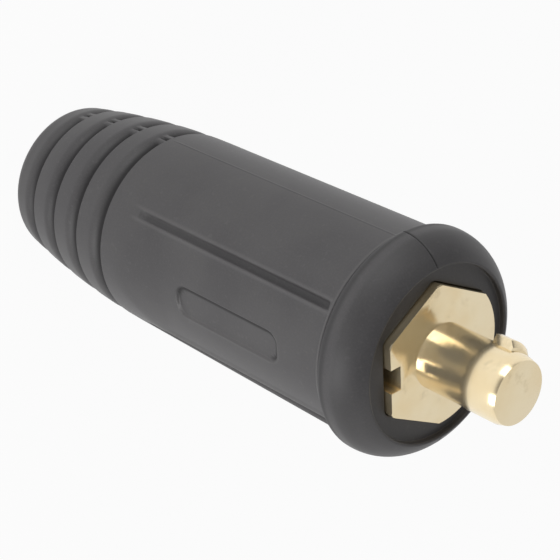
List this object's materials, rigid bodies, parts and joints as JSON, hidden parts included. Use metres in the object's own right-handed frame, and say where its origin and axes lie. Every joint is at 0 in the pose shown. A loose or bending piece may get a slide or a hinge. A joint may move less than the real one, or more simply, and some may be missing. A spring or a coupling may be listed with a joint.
{
  "type": "cable_plug",
  "caption": "Welding cable plug: a ribbed charcoal rubber sleeve over a turned brass contact with a bayonet pin, clamped to its cable by hidden socket screws.",
  "frame": {"origin": "middle of the tail's flat end, on the surface that the plug stands on", "axes": "+Z runs along the plug's axis from the tail to the pin's tip, +X points to the side face over the clamp screws, away from the flange's key notch, and +Y points to the mould's parting line on the side of the lug"},
  "size_m": [0.044, 0.0438, 0.1259],
  "materials": {
    "rubber": "satin charcoal moulded rubber",
    "brass": "bright turned pale brass",
    "steel": "plain zinc-plated steel"
  },
  "bodies": {
    "plug": {"insulating_sleeve": "rubber", "contact_pin": "brass"},
    "rear_screw": {"clamp_screw_rear": "steel"},
    "front_screw": {"clamp_screw_front": "steel"}
  },
  "joints": [
    {"name": "rear_clamp_screw", "type": "slide", "parent": "plug", "child": "rear_screw", "axis": [-1, 0, 0], "range_m": [0, 0.0045]},
    {"name": "front_clamp_screw", "type": "slide", "parent": "plug", "child": "front_screw", "axis": [-1, 0, 0], "range_m": [0, 0.0045]}
  ]
}
